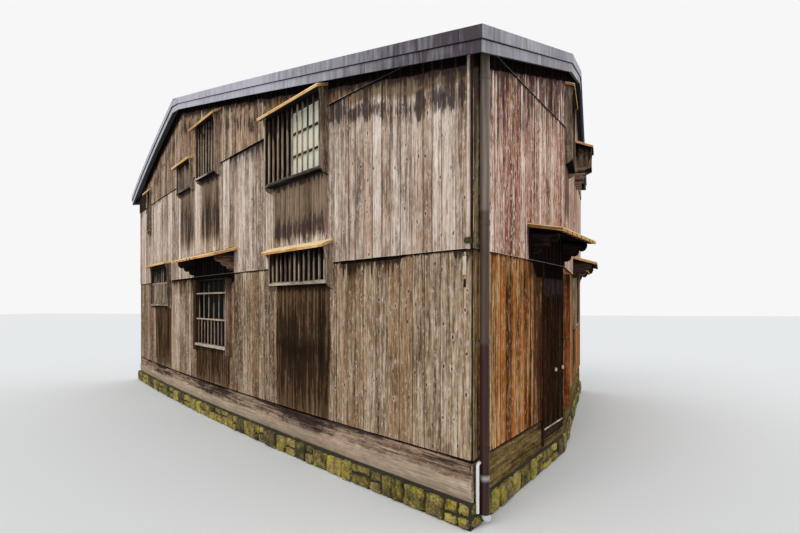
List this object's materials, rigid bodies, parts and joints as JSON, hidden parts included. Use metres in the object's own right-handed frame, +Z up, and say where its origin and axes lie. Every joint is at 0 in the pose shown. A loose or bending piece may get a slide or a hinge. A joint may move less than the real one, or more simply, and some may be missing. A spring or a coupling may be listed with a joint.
{
  "type": "traditional timber townhouse",
  "caption": "Two-storey wedge-shaped timber townhouse with plank walls, projecting lattice windows, hoods, a gable roof with metal fascia and a double plank door.",
  "frame": {"origin": "on the ground under the sharp front corner of the walls", "axes": "+X along the ridge towards the lane side, +Y from the sharp corner to the back wall, +Z up"},
  "size_m": [12.4741, 9.064, 6.5449],
  "materials": {
    "footing_stone": "rough mossy field stone",
    "base_boards": "weathered wide boards",
    "cedar_long_wall": "grey-brown weathered planks",
    "cedar_lane_wall": "red-brown weathered planks",
    "cedar_back_wall": "grey-brown weathered planks",
    "floor_boards": "dark floor boards",
    "roof_metal": "dull grey sheet",
    "fascia_metal": "purple-grey sheet",
    "downpipe_brown": "dark brown",
    "pipe_white": "white",
    "corner_board": "dark trim",
    "bend_post": "orange-brown post",
    "door_frame": "dark brown",
    "door_boards": "dark red-brown planks",
    "awning_boards": "weathered boards with pale edges",
    "window_glass": "old dark window glass",
    "shoji_paper": "white paper",
    "shoji_frame": "thin dark bars",
    "lattice_bars": "grey weathered bars",
    "window_boards": "grey weathered boards with pale edges"
  },
  "bodies": {
    "house": {"footing_left": "footing_stone", "footing_lane": "footing_stone", "footing_back": "footing_stone", "base_board_left": "base_boards", "base_board_lane": "base_boards", "base_board_back": "base_boards", "left_wall_lower": "cedar_long_wall", "left_wall_middle": "cedar_long_wall", "left_wall_upper": "cedar_long_wall", "right_wall_lower": "cedar_lane_wall", "door_head_wall": "cedar_lane_wall", "right_wall_upper": "cedar_lane_wall", "side_wall_lower": "cedar_lane_wall", "side_wall_upper": "cedar_lane_wall", "back_wall_lower": "cedar_back_wall", "back_wall_upper": "cedar_back_wall", "ground_floor": "floor_boards", "upper_floor": "floor_boards", "roof_front": "roof_metal", "roof_back": "roof_metal", "ridge_cap": "roof_metal", "fascia_left": "fascia_metal", "fascia_lane": "fascia_metal", "fascia_back": "fascia_metal", "downpipe": "downpipe_brown", "white_pipes": "pipe_white", "corner_board": "corner_board", "bend_post": "bend_post", "door_frame": "door_frame", "door_awning": "awning_boards", "left_window_frames": "window_boards", "left_window_lattices": "lattice_bars", "shoji_frame": "shoji_frame", "shoji_paper": "shoji_paper", "tall_window_frame": "window_boards", "tall_window_lattice": "lattice_bars", "tall_window_awning": "awning_boards", "side_window_frames": "window_boards", "side_window_lattices": "lattice_bars", "side_window_awning": "awning_boards", "back_window_frames": "window_boards", "back_window_lattices": "lattice_bars", "window_panes": "window_glass"},
    "left_leaf": {"door_leaf_left": "door_boards"},
    "right_leaf": {"door_leaf_right": "door_boards"}
  },
  "joints": [
    {"name": "left_leaf_hinge", "type": "hinge", "parent": "house", "child": "left_leaf", "pos_m": [0.87609, 2.0344, 0.485], "axis": [0, 0, -1], "range_deg": [0, 100]},
    {"name": "right_leaf_hinge", "type": "hinge", "parent": "house", "child": "right_leaf", "pos_m": [1.21072, 2.8212, 0.485], "axis": [0, 0, 1], "range_deg": [0, 90]}
  ]
}
